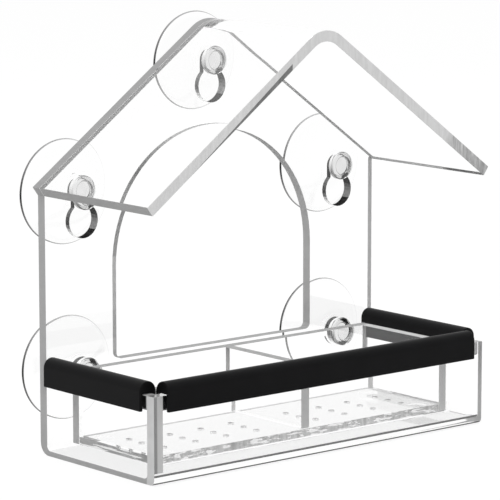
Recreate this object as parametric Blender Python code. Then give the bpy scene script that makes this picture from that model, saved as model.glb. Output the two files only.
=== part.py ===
# Window bird feeder: a clear bent-sheet house on suction cups, with a lift-out seed tray and
# padded perches. Metres, +Z up. The front is -Y and the window side +Y, and the origin is the
# middle of the house's flat underside.
import math

import bmesh
import bpy
from mathutils import Vector

# Fits
seatGap = 0.0003  # between pieces that are glued, pushed on or rest on each other
cutOverrun = 0.006  # how far a cutter passes through what it cuts
chordError = 0.00005  # how far a round edge's chords stray from the true arc

# House: one bent sheet, whose floor is drawn thinner than its walls
sheetThickness = 0.005
floorThickness = 0.0025
houseWidth = 0.200
houseDepth = 0.084
frontWallHeight = 0.040
shoulderHeight = 0.120
ridgeHeight = 0.1925  # to where the two slopes' undersides would meet in a sharp line
rearBendInnerRadius = 0.0025
rearBendOuterRadius = 0.0058
frontBendInnerRadius = 0.0022
frontBendOuterRadius = 0.0028

# Arch opening in the back panel, whose sill is level with the front wall's top
archCornerRadius = 0.0028
archPost = 0.01035  # of panel left between the arch and a side keyhole
archCrown = 0.01005  # of panel left between the arch and the top keyhole

# Roof: one sheet bent over the ridge, whose rear end meets the back panel's front face
roofThickness = 0.005
ridgeBendRadius = 0.011  # of the underside

# Side rails, glued between the back panel and the front wall
railHeight = 0.0065

# Perch pads: channels pushed over the front wall and the rails
padWidth = 0.009
padCrown = 0.0058  # above the edge that the pad covers
padSkirt = 0.0075  # below that edge
padCornerGap = 0.0004
frontPadInset = 0.0067  # from the house's side to the front pad's end

# Seed tray, as high as the front wall, between the pads and the heads of the suction cups
traySideClearance = 0.0036
trayFrontClearance = 0.0062
trayRearClearance = 0.0021
trayWall = 0.0045
trayFloorThickness = 0.0038
trayDividerThickness = 0.0048
trayFootHeight = 0.0027
trayFootRadius = 0.004
trayFootInset = 0.012
drainRadius = 0.0015
drainColumns = 4  # in each compartment
drainSideMargin = 0.0168  # from the tray's side to the nearest column
drainRows = 3
drainRowPitch = 0.0092
drainSetForward = 0.0025  # the middle row, in front of the tray's middle

# Suction cups. The upper three hang in keyholes, the lower two sit in plain round holes.
cupSideInset = 0.022  # from the house's side
cupRidgeDrop = 0.0193  # the top cup's centre, below the ridge
cupShoulderDrop = 0.0012  # the upper cups' centres, below the shoulder
cupLowerHeight = 0.0366
cupRadius = 0.0245
cupStandoff = 0.011  # from the back panel's rear face to the rim's plane
cupLipWidth = 0.002
cupLipThickness = 0.0009
cupHollowDepth = 0.0062
domeBow = 1.2  # how late the dome's back turns up towards the lip, 1 being a cone
hollowBow = 2  # the same of the hollow
cupCollarRadius = 0.0072
cupCollarHeight = 0.0016
cupNeckRadius = 0.0048
cupHeadRadius = 0.0068
cupHeadThickness = 0.0031
cupHeadRounding = 0.0009
cupDimpleRadius = 0.00435
cupDimpleDepth = 0.0012
cupSides = 36
keyholeEntryRadius = 0.00815
keyholeDrop = 0.012  # from the slot's round end down to the entry hole's centre
plainHoleRadius = 0.0065

# Colours and finishes: colour, roughness, opacity
finishes = {
    "clear_acrylic": ((0.86, 0.89, 0.90), 0.05, 0.30),
    "black_foam": ((0.012, 0.012, 0.013), 0.55, 1.0),
    "clear_vinyl": ((0.88, 0.89, 0.89), 0.15, 0.45),
}

# Places that several pieces share
houseSide = houseWidth / 2
rearFace = houseDepth / 2
frontFace = -houseDepth / 2
panelFront = rearFace - sheetThickness
frontWallRear = frontFace + sheetThickness
slope = math.atan2(ridgeHeight - shoulderHeight, houseSide)
padSlotHalf = sheetThickness / 2 + seatGap
padReach = sheetThickness / 2 + padWidth / 2  # from a wall's outer face to its pad's inner flank
cupHeadFront = panelFront - seatGap - cupHeadThickness
cupSide = houseSide - cupSideInset
cupTopHeight = ridgeHeight - cupRidgeDrop
cupUpperHeight = shoulderHeight - cupShoulderDrop
slotRadius = cupNeckRadius + seatGap
archSide = cupSide - keyholeEntryRadius - archPost
archTop = cupTopHeight - keyholeDrop - keyholeEntryRadius - archCrown

# Places in the tray, whose origin is the middle of the plane that its feet stand on
trayRest = floorThickness + seatGap
trayDepth = cupHeadFront - trayRearClearance - (frontFace + padReach + trayFrontClearance)
trayMiddle = cupHeadFront - trayRearClearance - trayDepth / 2
traySide = houseSide - padReach - traySideClearance
trayRear = trayDepth / 2
trayFront = -trayDepth / 2
trayFloorTop = trayFootHeight + trayFloorThickness
betweenSides = traySide - trayWall - seatGap
betweenFront = trayFront + trayWall + seatGap
betweenRear = trayRear - trayWall - seatGap
trayRim = frontWallHeight - trayRest
drainColumnPitch = (traySide - drainSideMargin) / drainColumns


def removeAll():
    for item in list(bpy.data.objects):
        bpy.data.objects.remove(item, do_unlink=True)


def makeMaterial(name):
    colour, roughness, opacity = finishes[name]
    material = bpy.data.materials.new(name)
    material.use_nodes = True
    shader = material.node_tree.nodes["Principled BSDF"]
    shader.inputs["Base Color"].default_value = (*colour, 1)
    shader.inputs["Roughness"].default_value = roughness
    shader.inputs["Metallic"].default_value = 0
    shader.inputs["Alpha"].default_value = opacity
    return material


# Which way a prism runs: where its outline's two coordinates and its depth go
def across(u, v, depth):
    return (depth, u, v)


def alongDepth(u, v, depth):
    return (u, depth, v)


def upward(u, v, depth):
    return (u, v, depth)


# Points of an arc, counter-clockwise from start to end, in radians
def arcPoints(centre, radius, start, end):
    largestStep = 2 * math.acos(1 - chordError / radius)
    steps = max(3, math.ceil((end - start) / largestStep))
    angles = [start + (end - start) * step / steps for step in range(steps + 1)]
    return [centre + Vector((math.cos(angle), math.sin(angle))) * radius for angle in angles]


# Outline through the corners in order, each (u, v, radius) rounded by an arc of its radius
def roundedOutline(corners):
    points = []
    for index, (u, v, radius) in enumerate(corners):
        corner = Vector((u, v))
        toPrevious = (Vector(corners[index - 1][:2]) - corner).normalized()
        toNext = (Vector(corners[(index + 1) % len(corners)][:2]) - corner).normalized()
        if radius == 0:
            points.append(corner)
            continue
        turn = math.pi - toPrevious.angle(toNext)
        inward = (toPrevious + toNext).normalized()
        centre = corner + inward * radius / math.cos(turn / 2)
        middle = math.atan2(-inward.y, -inward.x)
        arc = arcPoints(centre, radius, middle - turn / 2, middle + turn / 2)
        if toPrevious.cross(toNext) > 0:
            arc.reverse()
        points.extend(arc)
    return withoutRepeats(points)


# The same points without those that fall on the one before, where two arcs meet
def withoutRepeats(points):
    nearest = chordError / 10
    return [point for index, point in enumerate(points) if (point - points[index - 1]).length > nearest]


def circleOutline(x, y, radius):
    return withoutRepeats(arcPoints(Vector((x, y)), radius, 0, math.tau))


# A closed prism on an outline, from one depth to the other
def addPrism(mesh, outline, low, high, place):
    lowRing = [mesh.verts.new(place(point.x, point.y, low)) for point in outline]
    highRing = [mesh.verts.new(place(point.x, point.y, high)) for point in outline]
    mesh.faces.new(lowRing)
    mesh.faces.new(highRing)
    for index in range(len(outline)):
        following = (index + 1) % len(outline)
        mesh.faces.new((lowRing[index], lowRing[following], highRing[following], highRing[index]))


def addBox(mesh, low, high):
    outline = [Vector((low[0], low[1])), Vector((high[0], low[1]))]
    outline += [Vector((high[0], high[1])), Vector((low[0], high[1]))]
    addPrism(mesh, outline, low[2], high[2], upward)


# Turned solid about the Y axis, from a profile of (radius, y) that starts and ends on the axis
def addTurned(mesh, profile, sides):
    rings = []
    for radius, y in profile:
        if radius == 0:
            rings.append([mesh.verts.new((0, y, 0))])
            continue
        angles = [math.tau * side / sides for side in range(sides)]
        rings.append([mesh.verts.new((radius * math.cos(a), y, radius * math.sin(a))) for a in angles])
    for inner, outer in zip(rings, rings[1:]):
        for side in range(sides):
            following = (side + 1) % sides
            corners = [inner[side % len(inner)], inner[following % len(inner)]]
            corners += [outer[following % len(outer)], outer[side % len(outer)]]
            mesh.faces.new(list(dict.fromkeys(corners)))


# An object on a mesh, smooth over its round stretches and sharp at its corners
def addObject(name, mesh, material=None, location=(0, 0, 0), parent=None):
    bmesh.ops.recalc_face_normals(mesh, faces=mesh.faces)
    data = bpy.data.meshes.new(name)
    mesh.to_mesh(data)
    mesh.free()
    data.shade_smooth()
    data.set_sharp_from_angle(angle=math.radians(35))
    item = bpy.data.objects.new(name, data)
    bpy.context.scene.collection.objects.link(item)
    item.location = location
    item.parent = parent
    if material:
        data.materials.append(material)
    return item


def addCutter(name, mesh, parent=None):
    cutter = addObject(name, mesh, parent=parent)
    cutter.hide_render = True
    cutter.display_type = "WIRE"
    return cutter


def applyBoolean(item, cutter, operation):
    modifier = item.modifiers.new(cutter.name, "BOOLEAN")
    modifier.object = cutter
    modifier.operation = operation
    modifier.solver = "EXACT"


# Height of the roof's underside at a distance from the middle, lowered square to the slope
def undersideHeight(x, lowered):
    return ridgeHeight - abs(x) * math.tan(slope) - lowered / math.cos(slope)


# The roof's outer corner at the right eave, square to the slope from the shoulder
def eaveTip():
    return Vector((houseSide, shoulderHeight)) + Vector((math.sin(slope), math.cos(slope))) * roofThickness


# The bent sheet's section from the rear face, under the floor and up the front wall
def houseSection():
    top = undersideHeight(0, -roofThickness)
    return roundedOutline([
        (rearFace, top, 0),
        (panelFront, top, 0),
        (panelFront, floorThickness, rearBendInnerRadius),
        (frontWallRear, floorThickness, frontBendInnerRadius),
        (frontWallRear, frontWallHeight, 0),
        (frontFace, frontWallHeight, 0),
        (frontFace, 0, frontBendOuterRadius),
        (rearFace, 0, rearBendOuterRadius),
    ])


# The house as seen from the front, whose gable ends flush with the roof's outer face and eaves
def gableOutline():
    tip = eaveTip()
    return roundedOutline([
        (-houseSide, -cutOverrun, 0),
        (houseSide, -cutOverrun, 0),
        (houseSide, shoulderHeight, 0),
        (tip.x, tip.y, 0),
        (0, undersideHeight(0, -roofThickness), ridgeBendRadius + roofThickness),
        (-tip.x, tip.y, 0),
        (-houseSide, shoulderHeight, 0),
    ])


def archOutline():
    return roundedOutline([
        (-archSide, frontWallHeight, archCornerRadius),
        (archSide, frontWallHeight, archCornerRadius),
        (archSide, archTop, archSide),
        (-archSide, archTop, archSide),
    ])


# An entry hole for the cup's head with a slot above it, whose round end is at the cup's centre
def keyholeOutline(x, z):
    waist = math.asin(slotRadius / keyholeEntryRadius)
    slotEnd = arcPoints(Vector((x, z)), slotRadius, 0, math.pi)
    entryCentre = Vector((x, z - keyholeDrop))
    start = math.pi / 2 + waist
    return slotEnd + arcPoints(entryCentre, keyholeEntryRadius, start, start + math.tau - 2 * waist)


def plainHoleOutline(x, z):
    return circleOutline(x, z, plainHoleRadius)


# Each cup's place and the outline of the hole that holds it
def cupPlaces():
    return {
        "suction_cup_top": (0, cupTopHeight, keyholeOutline),
        "suction_cup_upper_left": (-cupSide, cupUpperHeight, keyholeOutline),
        "suction_cup_upper_right": (cupSide, cupUpperHeight, keyholeOutline),
        "suction_cup_lower_left": (-cupSide, cupLowerHeight, plainHoleOutline),
        "suction_cup_lower_right": (cupSide, cupLowerHeight, plainHoleOutline),
    }


def makeBodyShell(acrylic):
    wide = eaveTip().x + cutOverrun
    sheet = bmesh.new()
    addPrism(sheet, houseSection(), -wide, wide, across)
    shell = addObject("body_shell", sheet, acrylic)

    gable = bmesh.new()
    addPrism(gable, gableOutline(), frontFace - cutOverrun, rearFace + cutOverrun, alongDepth)
    applyBoolean(shell, addCutter("gable_trim", gable), "INTERSECT")

    openings = bmesh.new()
    outlines = [archOutline()] + [hole(x, z) for x, z, hole in cupPlaces().values()]
    for outline in outlines:
        addPrism(openings, outline, panelFront - cutOverrun, rearFace + cutOverrun, alongDepth)
    applyBoolean(shell, addCutter("panel_openings", openings), "DIFFERENCE")


def makeRoof(acrylic):
    tip = eaveTip()
    outline = roundedOutline([
        (-houseSide, shoulderHeight, 0),
        (0, ridgeHeight, ridgeBendRadius),
        (houseSide, shoulderHeight, 0),
        (tip.x, tip.y, 0),
        (0, undersideHeight(0, -roofThickness), ridgeBendRadius + roofThickness),
        (-tip.x, tip.y, 0),
    ])
    sheet = bmesh.new()
    addPrism(sheet, outline, frontFace, panelFront - seatGap, alongDepth)
    addObject("roof_sheet", sheet, acrylic)


def makeRail(name, side, acrylic):
    outer = side * houseSide
    inner = side * (houseSide - sheetThickness)
    rail = bmesh.new()
    low = (min(inner, outer), frontWallRear + seatGap, frontWallHeight - railHeight)
    high = (max(inner, outer), panelFront - seatGap, frontWallHeight)
    addBox(rail, low, high)
    addObject(name, rail, acrylic)


# Channel section about the middle of the sheet it covers, open at the bottom, round on top
def padSection(middle):
    half = padWidth / 2
    foot = frontWallHeight - padSkirt
    top = frontWallHeight + padCrown
    roof = frontWallHeight + seatGap
    return roundedOutline([
        (middle - half, foot, 0),
        (middle - padSlotHalf, foot, 0),
        (middle - padSlotHalf, roof, 0),
        (middle + padSlotHalf, roof, 0),
        (middle + padSlotHalf, foot, 0),
        (middle + half, foot, 0),
        (middle + half, top, half),
        (middle - half, top, half),
    ])


def makePads(foam):
    frontPad = bmesh.new()
    frontMiddle = frontFace + sheetThickness / 2
    frontPadHalf = houseSide - frontPadInset
    addPrism(frontPad, padSection(frontMiddle), -frontPadHalf, frontPadHalf, across)
    addObject("perch_pad_front", frontPad, foam)

    sidePadFront = frontFace + padReach + padCornerGap
    for name, side in (("perch_pad_left", -1), ("perch_pad_right", 1)):
        sidePad = bmesh.new()
        section = padSection(side * (houseSide - sheetThickness / 2))
        addPrism(sidePad, section, sidePadFront, panelFront - seatGap, alongDepth)
        addObject(name, sidePad, foam)


def makeTrayFloor(acrylic, tray):
    floor = bmesh.new()
    low = (-betweenSides, betweenFront, trayFootHeight)
    addBox(floor, low, (betweenSides, betweenRear, trayFloorTop))
    floorItem = addObject("tray_floor", floor, acrylic, parent=tray)

    feet = bmesh.new()
    footTop = trayFootHeight + trayFloorThickness / 2
    for x in (trayFootInset - traySide, traySide - trayFootInset):
        for y in (trayFront + trayFootInset, trayRear - trayFootInset):
            addPrism(feet, circleOutline(x, y, trayFootRadius), 0, footTop, upward)
    applyBoolean(floorItem, addCutter("tray_feet", feet, tray), "UNION")

    drains = bmesh.new()
    drainLow = trayFootHeight - cutOverrun
    drainHigh = trayFloorTop + cutOverrun
    for row in range(drainRows):
        y = (row - (drainRows - 1) / 2) * drainRowPitch - drainSetForward
        for column in range(1, drainColumns + 1):
            for x in (-column * drainColumnPitch, column * drainColumnPitch):
                addPrism(drains, circleOutline(x, y, drainRadius), drainLow, drainHigh, upward)
    applyBoolean(floorItem, addCutter("tray_drains", drains, tray), "DIFFERENCE")


# The long walls run full width with the side walls between them. These four hold the floor
# between them, and the divider stands on it.
def makeTray(acrylic):
    tray = bpy.data.objects.new("tray", None)
    bpy.context.scene.collection.objects.link(tray)
    tray.location = (0, trayMiddle, trayRest)
    makeTrayFloor(acrylic, tray)
    divider = trayDividerThickness / 2
    foot = trayFootHeight
    spans = {
        "tray_front_wall": (-traySide, traySide, trayFront, trayFront + trayWall, foot),
        "tray_rear_wall": (-traySide, traySide, trayRear - trayWall, trayRear, foot),
        "tray_left_wall": (-traySide, trayWall - traySide, betweenFront, betweenRear, foot),
        "tray_right_wall": (traySide - trayWall, traySide, betweenFront, betweenRear, foot),
        "tray_divider": (-divider, divider, betweenFront, betweenRear, trayFloorTop + seatGap),
    }
    for name, (left, right, front, rear, bottom) in spans.items():
        wall = bmesh.new()
        addBox(wall, (left, front, bottom), (right, rear, trayRim))
        addObject(name, wall, acrylic, parent=tray)


# Profile from the dimple in the head, round the neck and collar, over the dome to the lip, and
# back inside the hollow. y runs from the back panel's rear face towards the window.
def cupProfile():
    headRear = -sheetThickness - seatGap
    headFront = headRear - cupHeadThickness
    collarTop = seatGap + cupCollarHeight
    lipRear = cupStandoff - cupLipThickness
    lipInner = cupRadius - cupLipWidth
    hollowTop = cupStandoff - cupHollowDepth
    profile = [
        (0, headFront + cupDimpleDepth),
        (cupDimpleRadius, headFront + cupDimpleDepth),
        (cupDimpleRadius, headFront),
        (cupHeadRadius - cupHeadRounding, headFront),
        (cupHeadRadius, headFront + cupHeadRounding),
        (cupHeadRadius, headRear),
        (cupNeckRadius, headRear),
        (cupNeckRadius, seatGap),
        (cupCollarRadius, seatGap),
    ]
    for share in (0, 1 / 3, 2 / 3, 1):
        radius = cupCollarRadius + (cupRadius - cupCollarRadius) * share
        profile.append((radius, collarTop + (lipRear - collarTop) * share ** domeBow))
    profile.append((cupRadius, cupStandoff))
    for share in (1, 2 / 3, 1 / 3, 0):
        profile.append((lipInner * share, hollowTop + (cupStandoff - hollowTop) * share ** hollowBow))
    return profile


def makeCups(vinyl):
    for name, (x, z, _) in cupPlaces().items():
        cup = bmesh.new()
        addTurned(cup, cupProfile(), cupSides)
        addObject(name, cup, vinyl, location=(x, rearFace, z))


def main():
    removeAll()
    acrylic = makeMaterial("clear_acrylic")
    foam = makeMaterial("black_foam")
    vinyl = makeMaterial("clear_vinyl")
    makeBodyShell(acrylic)
    makeRoof(acrylic)
    makeRail("side_rail_left", -1, acrylic)
    makeRail("side_rail_right", 1, acrylic)
    makePads(foam)
    makeTray(acrylic)
    makeCups(vinyl)


main()
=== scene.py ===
import math

import bmesh
import bpy
from mathutils import Matrix, Vector


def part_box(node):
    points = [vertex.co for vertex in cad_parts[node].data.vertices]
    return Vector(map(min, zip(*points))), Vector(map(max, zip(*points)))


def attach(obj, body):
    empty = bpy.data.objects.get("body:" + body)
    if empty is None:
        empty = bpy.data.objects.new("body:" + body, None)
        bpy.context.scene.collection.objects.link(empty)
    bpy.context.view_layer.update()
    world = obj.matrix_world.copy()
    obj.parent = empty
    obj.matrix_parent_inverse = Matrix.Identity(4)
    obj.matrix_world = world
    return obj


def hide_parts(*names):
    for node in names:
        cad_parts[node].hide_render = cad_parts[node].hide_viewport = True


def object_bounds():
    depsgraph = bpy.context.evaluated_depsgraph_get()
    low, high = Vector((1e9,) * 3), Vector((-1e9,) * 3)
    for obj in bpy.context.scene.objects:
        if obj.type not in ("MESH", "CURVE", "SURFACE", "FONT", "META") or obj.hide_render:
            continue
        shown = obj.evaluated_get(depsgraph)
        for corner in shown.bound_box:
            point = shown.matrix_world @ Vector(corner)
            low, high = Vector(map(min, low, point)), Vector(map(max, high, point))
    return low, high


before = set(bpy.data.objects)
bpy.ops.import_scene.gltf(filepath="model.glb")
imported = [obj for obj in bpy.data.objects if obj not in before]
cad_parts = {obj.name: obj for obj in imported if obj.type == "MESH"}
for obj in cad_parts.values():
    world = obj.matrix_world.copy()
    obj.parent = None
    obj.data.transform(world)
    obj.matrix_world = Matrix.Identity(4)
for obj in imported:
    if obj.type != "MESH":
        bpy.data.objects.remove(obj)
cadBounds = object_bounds()
print("frame loaded")

# How much of a face's normal lies along an axis when the face looks straight, squarely or roughly that way
straight = 0.99
square = 0.9
rough = 0.5

cupPlaces = ("top", "upper_left", "upper_right", "lower_left", "lower_right")


# One value in a material's node tree. Sums and products of wires add Math nodes.
class Wire:
    def __init__(self, finish, socket):
        self.finish = finish
        self.socket = socket

    def math(self, operation, first, second):
        return self.finish.node("ShaderNodeMath", {"operation": operation}, (first, second))

    def __add__(self, other):
        return self.math("ADD", self, other)

    def __radd__(self, other):
        return self.math("ADD", other, self)

    def __sub__(self, other):
        return self.math("SUBTRACT", self, other)

    def __rsub__(self, other):
        return self.math("SUBTRACT", other, self)

    def __mul__(self, other):
        return self.math("MULTIPLY", self, other)

    def __rmul__(self, other):
        return self.math("MULTIPLY", other, self)

    def __gt__(self, other):
        return self.math("GREATER_THAN", self, other)

    def max(self, other):
        return self.math("MAXIMUM", self, other)

    def min(self, other):
        return self.math("MINIMUM", self, other)


# A node tree that is being wired, of a material or of the world
class Finish:
    def __init__(self, tree, output):
        self.tree = tree
        self.tree.nodes.clear()
        self.output = self.tree.nodes.new(output)

    # Adds a node, sets its settings, fills its inputs by place or name, gives back one output
    def node(self, kind, settings=None, values=(), named=None, out=0):
        made = self.tree.nodes.new(kind)
        for key, value in (settings or {}).items():
            if key == "stops":
                fillRamp(made.color_ramp, value)
            else:
                setattr(made, key, value)
        pairs = list(enumerate(values)) + list((named or {}).items())
        for key, value in pairs:
            socket = made.inputs[key]
            if isinstance(value, Wire):
                self.tree.links.new(value.socket, socket)
            else:
                socket.default_value = value
        return Wire(self, made.outputs[out])

    def finish(self, shader):
        self.tree.links.new(shader.socket, self.output.inputs["Surface"])


def fillRamp(ramp, stops):
    while len(ramp.elements) < len(stops):
        ramp.elements.new(1.0)
    for element, (place, colour) in zip(ramp.elements, stops):
        element.position = place
        element.color = (*colour, 1)


def newFinish(name):
    material = bpy.data.materials.new(name)
    material.use_nodes = True
    return material, Finish(material.node_tree, "ShaderNodeOutputMaterial")


# Whether a ray comes from the camera, straight or by way of a clear or shiny face
def isSeen(finish):
    straightOn, glossy, through = (finish.node("ShaderNodeLightPath", out=name) for name in (
        "Is Camera Ray", "Is Glossy Ray", "Is Transmission Ray"))
    return straightOn.max(glossy).max(through)


acrylicLook = {
    "index": 1.49,
    "reflection": 0.0,
    "cutIndex": 1.0,
    "cutShade": 0.465,
    "cutRoughness": 0.6,
    "cutCover": 0.995,  # how much of the light a whole cut stops
    "sawMarks": (700.0, 60.0, 120.0),
    "gaps": (170.0, 60.0, 900.0),  # small clear lenses in a polished cut
    "gapShare": 0.55,
    "markDetail": 2.0,
    "markRoughness": 0.6,
    "cloudScale": 70.0,
    "mottle": 0.08,
    "darkCorner": (0.100, -0.042, 0.124),  # the roof's front corner, near which the cuts are darker and more streaked
    "darkCornerReach": 0.030,
    "darkCornerFade": 6.0,
    "darkCornerShade": 0.55,
    "darkCornerMarks": 1.2,
}

# How a sheet's face is finished. cover: how much of a cut it is. tone: how light the cut looks. hatch: how
# strong its saw marks are. tint: what the face lets through. mirror: how much of what it reflects it keeps.
# A cut's tone carries painted light and shade in places, as the finishes below say.
polished = {"cover": 0.0, "tone": 1.0, "hatch": 0.0, "tint": 1.0, "mirror": 1.0}
matt = {**polished, "cover": 1.0, "hatch": 0.12}
# Painted light: a cut painted paler where light falls on it, on the front wall's left end, the roof's front
# and the tray's right rim
paintedLitCut = {**matt, "tone": 1.5, "hatch": 0.5}
clearCut = {**polished, "cover": 0.95, "hatch": 1.65}


# Polished faces are clear and cut ones matt, as each face's own values say
def acrylicMaterial():
    look = acrylicLook
    material, finish = newFinish("clearAcrylic")
    cover, tone, hatch, tint, mirror = (
        finish.node("ShaderNodeAttribute", {"attribute_name": name}, out="Fac") for name in polished)
    place = finish.node("ShaderNodeTexCoord", out="Object")

    def noiseAt(size):
        stretched = finish.node("ShaderNodeVectorMath", {"operation": "MULTIPLY"}, (place, size))
        return finish.node("ShaderNodeTexNoise", values=(stretched,), named={
            "Scale": 1.0, "Detail": look["markDetail"], "Roughness": look["markRoughness"]}, out="Fac")

    marks = noiseAt(look["sawMarks"])
    gaps = noiseAt(look["gaps"]) > look["gapShare"]
    clouds = finish.node("ShaderNodeTexNoise", values=(place,), named={
        "Scale": look["cloudScale"], "Detail": look["markDetail"]}, out="Fac")
    away = finish.node("ShaderNodeVectorMath", {"operation": "DISTANCE"}, (place, look["darkCorner"]),
                       out="Value")
    nearDarkCorner = (look["darkCornerFade"] - away * (look["darkCornerFade"] / look["darkCornerReach"])).max(0.0).min(1.0)
    marked = hatch + nearDarkCorner * look["darkCornerMarks"]
    shade = tone - nearDarkCorner * look["darkCornerShade"] + marked * (marks - 0.5) + (clouds - 0.5) * look["mottle"]
    cut = finish.node("ShaderNodeBsdfPrincipled", named={
        "Base Color": (shade * look["cutShade"]).max(0.0),
        "Roughness": look["cutRoughness"],
        "IOR": look["cutIndex"],
    })
    glass = finish.node("ShaderNodeBsdfPrincipled", named={
        "Base Color": tint,
        "Roughness": 0.0,
        "IOR": look["index"],
        "Specular IOR Level": look["reflection"],
        "Transmission Weight": 1.0,
    })
    plain = finish.node("ShaderNodeBsdfRefraction", named={"Roughness": 0.0, "IOR": look["index"]})
    seen = finish.node("ShaderNodeMixShader", values=(mirror, plain, glass))
    shadowRay = finish.node("ShaderNodeLightPath", out="Is Shadow Ray")
    clear = finish.node("ShaderNodeBsdfTransparent")
    skin = finish.node("ShaderNodeMixShader", values=(shadowRay, seen, clear))
    covered = cover * (1 - gaps * (hatch - 1).max(0.0)) * look["cutCover"]
    finish.finish(finish.node("ShaderNodeMixShader", values=(covered, skin, cut)))
    return material


sheetLook = {
    "arris": 0.00022,  # the tiny chamfer along each cut
    "arrisSteps": 1,
    "weldDistance": 0.000002,
    "flatAngle": 0.5,  # degrees under which two faces are one
    "sharpAngle": 28,
    "glue": 0.00025,  # how much nearer a glued end comes to its sheet
}


# A fresh welded copy of a CAD node's mesh, with flat faces made whole again
def weldedCopy(node):
    mesh = bmesh.new()
    mesh.from_mesh(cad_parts[node].data)
    bmesh.ops.remove_doubles(mesh, verts=mesh.verts, dist=sheetLook["weldDistance"])
    flat = math.radians(sheetLook["flatAngle"])
    bmesh.ops.dissolve_limit(mesh, angle_limit=flat, verts=mesh.verts, edges=mesh.edges)
    return mesh


def bevelSharpEdges(mesh, width, steps):
    limit = math.radians(sheetLook["sharpAngle"])
    edges = [edge for edge in mesh.edges if edge.calc_face_angle(0) > limit]
    bmesh.ops.bevel(mesh, geom=edges, offset=width, segments=steps, affect="EDGES", profile=0.5,
                    material=-1, clamp_overlap=True)


def addPiece(name, mesh, material, body, slot, nodes):
    data = bpy.data.meshes.new(name)
    mesh.to_mesh(data)
    mesh.free()
    data.shade_smooth()
    data.set_sharp_from_angle(angle=math.radians(sheetLook["sharpAngle"]))
    data.materials.append(material)
    piece = bpy.data.objects.new(name, data)
    bpy.context.scene.collection.objects.link(piece)
    piece.visible_glossy = slot == "black_foam"  # clear pieces leave no image in each other
    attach(piece, body)
    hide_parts(*nodes)
    return piece


# Keeps the flat faces beside a chamfer or rounding flat
def weightNormals(piece):
    weighted = piece.modifiers.new("flatFaces", "WEIGHTED_NORMAL")
    weighted.keep_sharp = True


# A sheet from its CAD node, with a fine arris along each cut, split along planes that part two finishes.
# finishAt gives each face's finish. What lies behind glueEnd comes nearer to the sheet it is glued to.
def sheetFromNode(node, body, material, finishAt, splits=(), glueEnd=math.inf):
    mesh = weldedCopy(node)
    bevelSharpEdges(mesh, sheetLook["arris"], sheetLook["arrisSteps"])
    for place, across in splits:
        bmesh.ops.bisect_plane(mesh, geom=mesh.verts[:] + mesh.edges[:] + mesh.faces[:], plane_co=place,
                               plane_no=across, dist=sheetLook["weldDistance"])
    layers = {name: mesh.faces.layers.float.new(name) for name in polished}
    for vert in mesh.verts:
        if vert.co.y > glueEnd:
            vert.co.y += sheetLook["glue"]
    mesh.normal_update()
    for face in mesh.faces:
        for name, value in finishAt(face.calc_center_median(), face.normal).items():
            face[layers[name]] = value
    weightNormals(addPiece(node + "_clear", mesh, material, body, "clear_acrylic", [node]))


# The value at a place between stops of (place, value)
def blend(place, stops):
    for (low, lowValue), (high, highValue) in zip(stops, stops[1:]):
        if place < high:
            return lowValue + (highValue - lowValue) * max(0.0, (place - low) / (high - low))
    return stops[-1][1]


# A hole's walls, with painted light and shade by the height of a wall's normal. The left wall is seen
# through the panel.
holeLook = {
    "leftFrom": 0.1,  # the normal's x of a left wall
    "leftPaintedShades": [(-0.6, 0.35), (-0.1, 0.12), (0.05, 0.05), (0.35, 0.5), (0.7, 1.5)],
    "leftCovers": [(0.3, 1.0), (0.8, 0.4)],
    "rightPaintedShades": [(-0.3, 0.20), (-0.05, 0.55), (0.45, 0.85), (0.6, 0.08), (1.0, 0.05)],
}


# Painted light and shade: each wall of a hole is toned by which way it faces
def holeFinish(normal):
    if normal.x > holeLook["leftFrom"]:
        return {**matt, "cover": blend(normal.z, holeLook["leftCovers"]),
                "tone": blend(normal.z, holeLook["leftPaintedShades"])}
    return {**matt, "tone": blend(normal.z, holeLook["rightPaintedShades"])}


archLook = {
    "under": -0.05,  # the normal's height below which the arch's wall is its curved part
    "darkest": 0.72,  # the normal's x at the left shoulder
    "spread": 0.40,
    "shade": 0.93,
}


# The arch's left shoulder is the darkest, as it faces away from the light
def archFinish(normal):
    isCurved = normal.z < archLook["under"]
    shoulder = max(0.0, 1 - abs(normal.x - archLook["darkest"]) / archLook["spread"]) if isCurved else 0.0
    return {**matt, "tone": 1.0 - archLook["shade"] * shoulder}


shellLook = {
    "near": 0.0001,
    "holeSide": 0.0085,  # how far a hole reaches from its cup's middle
    "holeBelow": 0.0205,
    "holeAbove": 0.0068,
    "archSide": 0.061,
    "archTop": 0.146,
    "bottom": 0.010,  # the height under which there are only the floor and its bends
    "bendDepth": 0.003,  # the front bend, behind the front wall's rear face
    "bendTop": 0.005,
    "outerBend": (-0.1, -0.6),  # y and z of the normals between which a bend is painted as a dark line of shade
    "innerBend": (0.5, 0.5),
    "paintedBandEnds": (0.0040, 0.0072),  # a painted dark band and a painted pale band, for the shade and light that the front wall's left cut throws on its rear face
}

# Painted shade: the house floor's flat faces are tinted grey, standing in for the grey that reflections and
# the long grazing path give
houseFloorGrazeShade = {**polished, "tint": 0.80}
# Painted shade: the front bend's faces are drawn as a dark line
bendPaintedShade = {**polished, "cover": 0.93, "tone": 0.25}
gableCut = {**matt, "tone": 0.92}
# Painted shade and painted light for the two bands on the front wall's rear face
paintedBandDark = {**matt, "tone": 0.65, "hatch": 0.0}
paintedBandPale = {**matt, "tone": 1.25, "hatch": 0.0}


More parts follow.
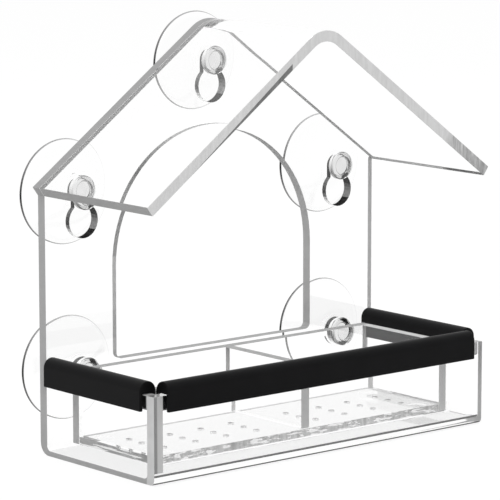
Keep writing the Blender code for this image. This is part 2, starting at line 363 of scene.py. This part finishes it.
def makeShell(acrylic):
    look = shellLook
    railLow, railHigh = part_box("side_rail_right")
    side = railHigh.x
    panelFront = railHigh.y
    frontWallRear = railLow.y
    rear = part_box("body_shell")[1].y
    cups = [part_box("suction_cup_" + place) for place in cupPlaces]
    holes = [(low + high) / 2 for low, high in cups]
    paintedBandEnds = [end - side for end in look["paintedBandEnds"]]

    def isPaintedBendLine(normal):
        isOuter = normal.y < look["outerBend"][0] and normal.z < look["outerBend"][1]
        isInner = normal.y > look["innerBend"][0] and normal.z > look["innerBend"][1]
        return isOuter or isInner

    def isInHole(fromHole):
        isBeside = abs(fromHole.x) < look["holeSide"]
        return isBeside and -look["holeBelow"] < fromHole.z < look["holeAbove"]

    def shellFinish(centre, normal):
        if abs(normal.x) > square and abs(centre.x) > side - look["near"]:
            # Painted light: the front wall's left end is a paler cut than the other side cuts
            return paintedLitCut if centre.y < frontWallRear and centre.x < 0 else matt
        # Painted shade and light: the bands on the front wall's rear face
        if normal.y > straight and centre.y < frontWallRear + look["near"] and centre.x < paintedBandEnds[1]:
            return paintedBandDark if centre.x < paintedBandEnds[0] else paintedBandPale
        # Painted shade along the front bend
        isFrontBend = centre.y < frontWallRear + look["bendDepth"] and centre.z < look["bendTop"]
        if isFrontBend and abs(normal.x) < rough and isPaintedBendLine(normal):
            return bendPaintedShade
        isPanel = panelFront < centre.y < rear - look["near"] and centre.z > look["bottom"]
        if not (isPanel and abs(normal.y) < square):
            return houseFloorGrazeShade if abs(normal.z) > square and centre.z < look["bottom"] else polished
        if any(isInHole(centre - hole) for hole in holes):
            return holeFinish(normal)
        isArch = abs(centre.x) < look["archSide"] and centre.z < look["archTop"]
        return archFinish(normal) if isArch else gableCut

    splits = [((0, frontWallRear, 0), (0, 1, 0))] + [((place, 0, 0), (1, 0, 0)) for place in paintedBandEnds]
    sheetFromNode("body_shell", "house", acrylic, shellFinish, splits)


# Painted shade: a dark wedge runs along the lower edge of the roof's left front leg.
roofLook = {
    "thickness": 0.005,
    "wedgeStart": -0.083,
    "wedgeEnd": -0.020,
    "wedgeAngle": 0.031,
    "eaveNormal": 0.3,  # the height of a normal under which an outer face is the eave
    "slopeNormal": 0.4,  # the normal's x from which an underside is part of a slope
    "bendSeen": 0.006,  # the bend's length at the rear end that shows the panel behind it
    "glued": 0.001,  # what lies this near the rear end is glued to the panel
}

# Painted light: the roof's front cut is paler than the other cuts
roofFrontPaintedLight = {**paintedLitCut, "tone": 1.58}
# Painted shade: the wedge along the left leg's lower edge is a dark cut
roofWedgePaintedShade = {**paintedLitCut, "tone": 0.5}
underRoof = {**polished, "mirror": 0.3}


def makeRoof(acrylic):
    look = roofLook
    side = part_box("side_rail_right")[1].x
    low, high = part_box("roof_sheet")
    lean = math.asin((high.x - side) / look["thickness"])
    start = look["wedgeStart"]
    wedgeTip = Vector((start, 0, low.z + (side + start) * math.tan(lean)))
    wedgeLean = lean + look["wedgeAngle"]
    across = Vector((-math.sin(wedgeLean), 0, math.cos(wedgeLean)))
    bendRear = high.y - look["bendSeen"]

    def roofFinish(centre, normal):
        if normal.y < -rough:
            # Painted shade in the wedge, painted light on the rest of the front cut
            isWedge = centre.x < look["wedgeEnd"] and (centre - wedgeTip).dot(across) < 0
            return roofWedgePaintedShade if isWedge else roofFrontPaintedLight
        if normal.y > rough or (abs(centre.x) > side and normal.z < look["eaveNormal"]):
            return gableCut
        isSlopeBelow = normal.z < 0 and (abs(normal.x) > look["slopeNormal"] or centre.y > bendRear)
        return underRoof if isSlopeBelow else polished

    splits = [(wedgeTip, across), ((look["wedgeEnd"], 0, 0), (1, 0, 0)), ((0, bendRear, 0), (0, 1, 0))]
    sheetFromNode("roof_sheet", "house", acrylic, roofFinish, splits, high.y - look["glued"])


def railFinish(centre, normal):
    return matt if abs(normal.x) < square else polished


def makeHouse(acrylic):
    makeShell(acrylic)
    makeRoof(acrylic)
    for node in ("side_rail_left", "side_rail_right"):
        sheetFromNode(node, "house", acrylic, railFinish)
    print("house made")


trayLook = {
    "near": 0.00005,
    "feet": 0.0025,  # how high the feet hold the floor's underside
}

drainCut = {**matt, "cover": 0.55, "tone": 0.7}
trayFloorClear = {**polished, "tint": 0.985}
rearEndCut = {**matt, "tone": 1.2}


def makeTray(acrylic):
    low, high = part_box("tray_floor")
    near = trayLook["near"]
    floorJoint = [(high, (0, 0, 1))]

    def floorFinish(centre, normal):
        if centre.y > high.y - near:
            return matt
        if centre.x > high.x - near or centre.y < low.y + near:
            return clearCut
        if centre.x < low.x + near or centre.z < low.z + trayLook["feet"]:
            return polished
        return drainCut if abs(normal.z) < square else trayFloorClear

    sheetFromNode("tray_floor", "tray", acrylic, floorFinish)

    # A wall's ends lie along its axis and are finished one by one. Its rim is cut, its underside polished.
    # Where it has an outward side, the floor's joint shows through that face as a clear cut.
    def wallFinish(axis, lowEnd, highEnd, rim, outward=0):
        def finishAt(centre, normal):
            if normal.x * outward > square and centre.z < high.z:
                return clearCut
            if normal[axis] < -rough:
                return lowEnd
            if normal[axis] > rough:
                return highEnd
            return rim if normal.z > rough else polished
        return finishAt

    sheetFromNode("tray_front_wall", "tray", acrylic, wallFinish(0, polished, polished, matt))
    sheetFromNode("tray_rear_wall", "tray", acrylic, wallFinish(0, rearEndCut, matt, matt))
    sheetFromNode("tray_left_wall", "tray", acrylic, wallFinish(1, matt, polished, matt, -1), floorJoint)
    # Painted light: the right wall's rim is a paler cut
    sheetFromNode("tray_right_wall", "tray", acrylic, wallFinish(1, matt, matt, paintedLitCut, 1), floorJoint)
    sheetFromNode("tray_divider", "tray", acrylic, wallFinish(1, matt, matt, matt))
    print("tray made")


padLook = {
    "rounding": 0.0005,
    "roundingSteps": 3,
    "shade": (0.0055, 0.0055, 0.006),
    "patchShade": 0.8,  # the darker patches' share of the shade
    "patchEnds": (0.35, 0.65),
    "patchScale": 70.0,
    "patchDetail": 3.0,
    "poreScale": 2600,
    "poreDetail": 2.0,
    "poreStrength": 0.12,
    "poreDepth": 0.0001,
    "roughness": 0.42,
    "roughnessSpread": 0.08,
    "reflection": 0.06,
}


def foamMaterial():
    look = padLook
    material, finish = newFinish("blackFoam")
    place = finish.node("ShaderNodeTexCoord", out="Object")
    pores = finish.node("ShaderNodeTexNoise", values=(place,), named={
        "Scale": look["poreScale"], "Detail": look["poreDetail"]}, out="Fac")
    patches = finish.node("ShaderNodeTexNoise", values=(place,), named={
        "Scale": look["patchScale"], "Detail": look["patchDetail"]}, out="Fac")
    skin = finish.node("ShaderNodeBump", named={
        "Strength": look["poreStrength"], "Distance": look["poreDepth"], "Height": pores})
    darker = tuple(value * look["patchShade"] for value in look["shade"])
    low, high = look["patchEnds"]
    shade = finish.node("ShaderNodeValToRGB", {"stops": [(low, darker), (high, look["shade"])]}, (patches,),
                        out="Color")
    spread = look["roughnessSpread"]
    finish.finish(finish.node("ShaderNodeBsdfPrincipled", named={
        "Base Color": shade,
        "Roughness": patches * spread + (look["roughness"] - spread / 2),
        "Specular IOR Level": look["reflection"],
        "Normal": skin,
    }))
    return material


def makePads(foam):
    for node in ("perch_pad_left", "perch_pad_front", "perch_pad_right"):
        mesh = weldedCopy(node)
        bevelSharpEdges(mesh, padLook["rounding"], padLook["roundingSteps"])
        piece = addPiece(node + "_foam", mesh, foam, "house", "black_foam", [node])
        weightNormals(piece)
    print("pads made")


cupLook = {
    "steps": 96,
    "standoff": 0.011,  # from the panel's rear face to the rim
    "headDepth": 0.0053,  # from the panel's rear face to the head's rear
    "index": 1.36,
    "roughness": 0.02,
    "flowScale": 90.0,
    "flowDetail": 2.0,
    "ripple": 0.05,
    "rippleDepth": 0.001,
    "outline": 0.0009,  # the rim's width that draws the disc's outline
    "outlineShades": (0.0, 0.85),  # painted shade: dark at the disc's left, lighter at its right
    "discTint": 0.985,
    "facingShadeTint": 0.58,
    "flankShadeTint": 0.10,
    "paintedHighlightFrom": (-0.55, 0.0, 0.83),  # painted highlight: flanks that face here are clearer
}


def vinylMaterial():
    look = cupLook
    material, finish = newFinish("clearVinyl")
    place = finish.node("ShaderNodeTexCoord", out="Object")
    flow = finish.node("ShaderNodeTexNoise", values=(place,), named={
        "Scale": look["flowScale"], "Detail": look["flowDetail"]}, out="Fac")
    ripple = finish.node("ShaderNodeBump", named={
        "Strength": look["ripple"], "Distance": look["rippleDepth"], "Height": flow})
    tint = finish.node("ShaderNodeAttribute", {"attribute_name": "tint"}, out="Fac")
    finish.finish(finish.node("ShaderNodeBsdfPrincipled", named={
        "Base Color": tint,
        "Roughness": look["roughness"],
        "IOR": look["index"],
        "Transmission Weight": 1.0,
        "Normal": ripple,
    }))
    return material


# Half section of a cup as (radius, y): dimple, head, neck, collar, the disc's back, its rim, the hollow
def cupSection(front, rim, radius):
    panel = rim - cupLook["standoff"]
    headRear = panel - cupLook["headDepth"]
    return [
        (0, front + 0.0012), (0.0030, front + 0.00125), (0.0041, front + 0.0009), (0.00445, front + 0.0002),
        (0.0048, front), (0.0058, front), (0.0064, front + 0.00025), (0.0068, front + 0.0009),
        (0.0068, headRear - 0.0003), (0.0066, headRear), (0.0049, headRear), (0.0048, headRear + 0.0001),
        (0.0048, panel + 0.0002), (0.0049, panel + 0.0003),
        (0.0070, panel + 0.0003), (0.0072, panel + 0.0005), (0.0072, panel + 0.0017),
        (0.0076, panel + 0.0021), (0.0100, panel + 0.0031), (0.0130, panel + 0.0044),
        (0.0160, panel + 0.0058), (0.0190, panel + 0.0073),
        (0.0220, panel + 0.0088), (0.0240, panel + 0.0099),
        (radius - 0.0001, rim - 0.0007), (radius, rim - 0.0004), (radius - 0.0001, rim - 0.0001),
        (radius - 0.0003, rim), (radius - 0.0008, rim), (radius - 0.0020, rim),
        (0.0205, panel + 0.0100), (0.0180, panel + 0.0088), (0.0150, panel + 0.0075),
        (0.0120, panel + 0.0065), (0.0080, panel + 0.0056), (0.0040, panel + 0.0050), (0, panel + 0.0048),
    ]


# How clear a cup's face is, with painted shade and a painted highlight: the thin disc most, then the head's
# front and back, its flanks least except where they face the light
def cupTint(place, normal, extent):
    look = cupLook
    reach = math.hypot(place.x, place.z)
    # Painted shade: the rim's outline darkens towards the disc's left
    if reach > extent.x - look["outline"]:
        left, right = look["outlineShades"]
        return left + (right - left) * (1 + place.x / reach) / 2
    if place.y > extent.y - look["standoff"]:
        return look["discTint"]
    # Painted shade: the head's faces let little through
    if abs(normal.y) > square:
        return look["facingShadeTint"]
    # Painted highlight: flanks facing the light are clearer
    lit = max(0.0, normal.dot(Vector(look["paintedHighlightFrom"])))
    return look["flankShadeTint"] + (1 - look["flankShadeTint"]) * lit * lit


def makeCups(vinyl):
    for place in cupPlaces:
        node = "suction_cup_" + place
        low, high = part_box(node)
        middle = (low + high) / 2
        section = cupSection(low.y, high.y, (high.x - low.x) / 2)
        mesh = bmesh.new()
        points = [mesh.verts.new((middle.x + radius, y, middle.z)) for radius, y in section]
        edges = [mesh.edges.new(pair) for pair in zip(points, points[1:])]
        bmesh.ops.spin(mesh, geom=points + edges, cent=middle, axis=(0, 1, 0), dvec=(0, 0, 0),
                       angle=math.tau, steps=cupLook["steps"], use_merge=True)
        bmesh.ops.remove_doubles(mesh, verts=mesh.verts, dist=sheetLook["weldDistance"])
        bmesh.ops.recalc_face_normals(mesh, faces=mesh.faces)
        tint = mesh.faces.layers.float.new("tint")
        for face in mesh.faces:
            face[tint] = cupTint(face.calc_center_median() - middle, face.normal, high - middle)
        addPiece(node + "_soft", mesh, vinyl, "cup_" + place, "clear_vinyl", [node])
    print("cups made")


floorLook = {
    "radius": 6.0,
    "sides": 64,
    "drop": 0.0002,  # below the feeder's flat underside
    "glow": 0.86,  # what the seen floor has besides its real light, which is white together
    "shadowShade": 0.20,  # how much of the real light and shadow shows in the seen floor
    "bounceShade": 0.9,
}


def makeFloor():
    look = floorLook
    mesh = bmesh.new()
    bmesh.ops.create_circle(mesh, cap_ends=True, radius=look["radius"], segments=look["sides"])
    bmesh.ops.translate(mesh, verts=mesh.verts, vec=(0, 0, cadBounds[0][2] - look["drop"]))
    data = bpy.data.meshes.new("floor")
    mesh.to_mesh(data)
    mesh.free()
    floor = bpy.data.objects.new("floor", data)
    bpy.context.scene.collection.objects.link(floor)
    material, finish = newFinish("whiteFloor")
    bounce = look["bounceShade"]
    shadow = look["shadowShade"]
    bounced = finish.node("ShaderNodeBsdfDiffuse", named={"Color": (bounce, bounce, bounce, 1)})
    glow = finish.node("ShaderNodeEmission", named={"Color": (1, 1, 1, 1), "Strength": look["glow"]})
    lit = finish.node("ShaderNodeBsdfDiffuse", named={"Color": (shadow, shadow, shadow, 1)})
    white = finish.node("ShaderNodeAddShader", values=(glow, lit))
    finish.finish(finish.node("ShaderNodeMixShader", values=(isSeen(finish), bounced, white)))
    data.materials.append(material)


light = {
    "ambient": 0.62,  # what the room gives the matt surfaces
    "background": 1.0,  # what shows behind and through the clear pieces
    "keyWatts": 9.0,
    "keyPlace": (-0.9, -1.2, 1.5),
    "keySize": 1.2,
    "topWatts": 5.0,
    "topPlace": (0.1, 0.2, 1.8),
    "topSize": 1.6,
    "aim": (0, 0, 0.08),
}


def makeWorld():
    world = bpy.data.worlds.new("whiteRoom")
    bpy.context.scene.world = world
    world.use_nodes = True
    finish = Finish(world.node_tree, "ShaderNodeOutputWorld")
    room = finish.node("ShaderNodeBackground", named={"Color": (1, 1, 1, 1), "Strength": light["ambient"]})
    backdrop = finish.node("ShaderNodeBackground", named={
        "Color": (1, 1, 1, 1), "Strength": light["background"]})
    finish.finish(finish.node("ShaderNodeMixShader", values=(isSeen(finish), room, backdrop)))


def addLamp(name, place, size, watts):
    lamp = bpy.data.lights.new(name, "AREA")
    lamp.shape = "DISK"
    lamp.size = size
    lamp.energy = watts
    holder = bpy.data.objects.new(name, lamp)
    holder.location = place
    holder.rotation_euler = (Vector(light["aim"]) - Vector(place)).to_track_quat("-Z", "Y").to_euler()
    bpy.context.scene.collection.objects.link(holder)


# The camera stands to the left of the front, higher than the ridge, and looks slightly down
camera = {
    "azimuth": 40.321,  # degrees round from straight ahead, towards the left
    "elevation": 9.07,
    "distance": 1.450001,
    "aim": (0.000068, 0.001989, 0.094895),
    "focalPixels": 3114.938,
    "imagePixels": 500,
    "shiftPixels": (-13.27, -11.82),
    "sensorWidth": 36,
    "clipStart": 0.05,
}


def makeCamera():
    azimuth = math.radians(camera["azimuth"])
    elevation = math.radians(camera["elevation"])
    back = Vector((-math.sin(azimuth) * math.cos(elevation), -math.cos(azimuth) * math.cos(elevation),
                   math.sin(elevation)))
    right = Vector((0, 0, 1)).cross(back).normalized()
    up = back.cross(right)
    lens = bpy.data.cameras.new("camera")
    lens.sensor_width = camera["sensorWidth"]
    lens.lens = camera["focalPixels"] / camera["imagePixels"] * lens.sensor_width
    lens.shift_x = camera["shiftPixels"][0] / camera["imagePixels"]
    lens.shift_y = camera["shiftPixels"][1] / camera["imagePixels"]
    lens.clip_start = camera["clipStart"]
    holder = bpy.data.objects.new("camera", lens)
    holder.matrix_world = Matrix((right, up, back)).transposed().to_4x4()
    holder.location = Vector(camera["aim"]) + back * camera["distance"]
    bpy.context.scene.collection.objects.link(holder)
    bpy.context.scene.camera = holder


def main():
    bpy.context.scene.view_settings.view_transform = "Standard"
    makeCamera()
    makeWorld()
    addLamp("keyLamp", light["keyPlace"], light["keySize"], light["keyWatts"])
    addLamp("topLamp", light["topPlace"], light["topSize"], light["topWatts"])
    makeFloor()
    acrylic = acrylicMaterial()
    makeHouse(acrylic)
    makeTray(acrylic)
    makePads(foamMaterial())
    makeCups(vinylMaterial())


main()
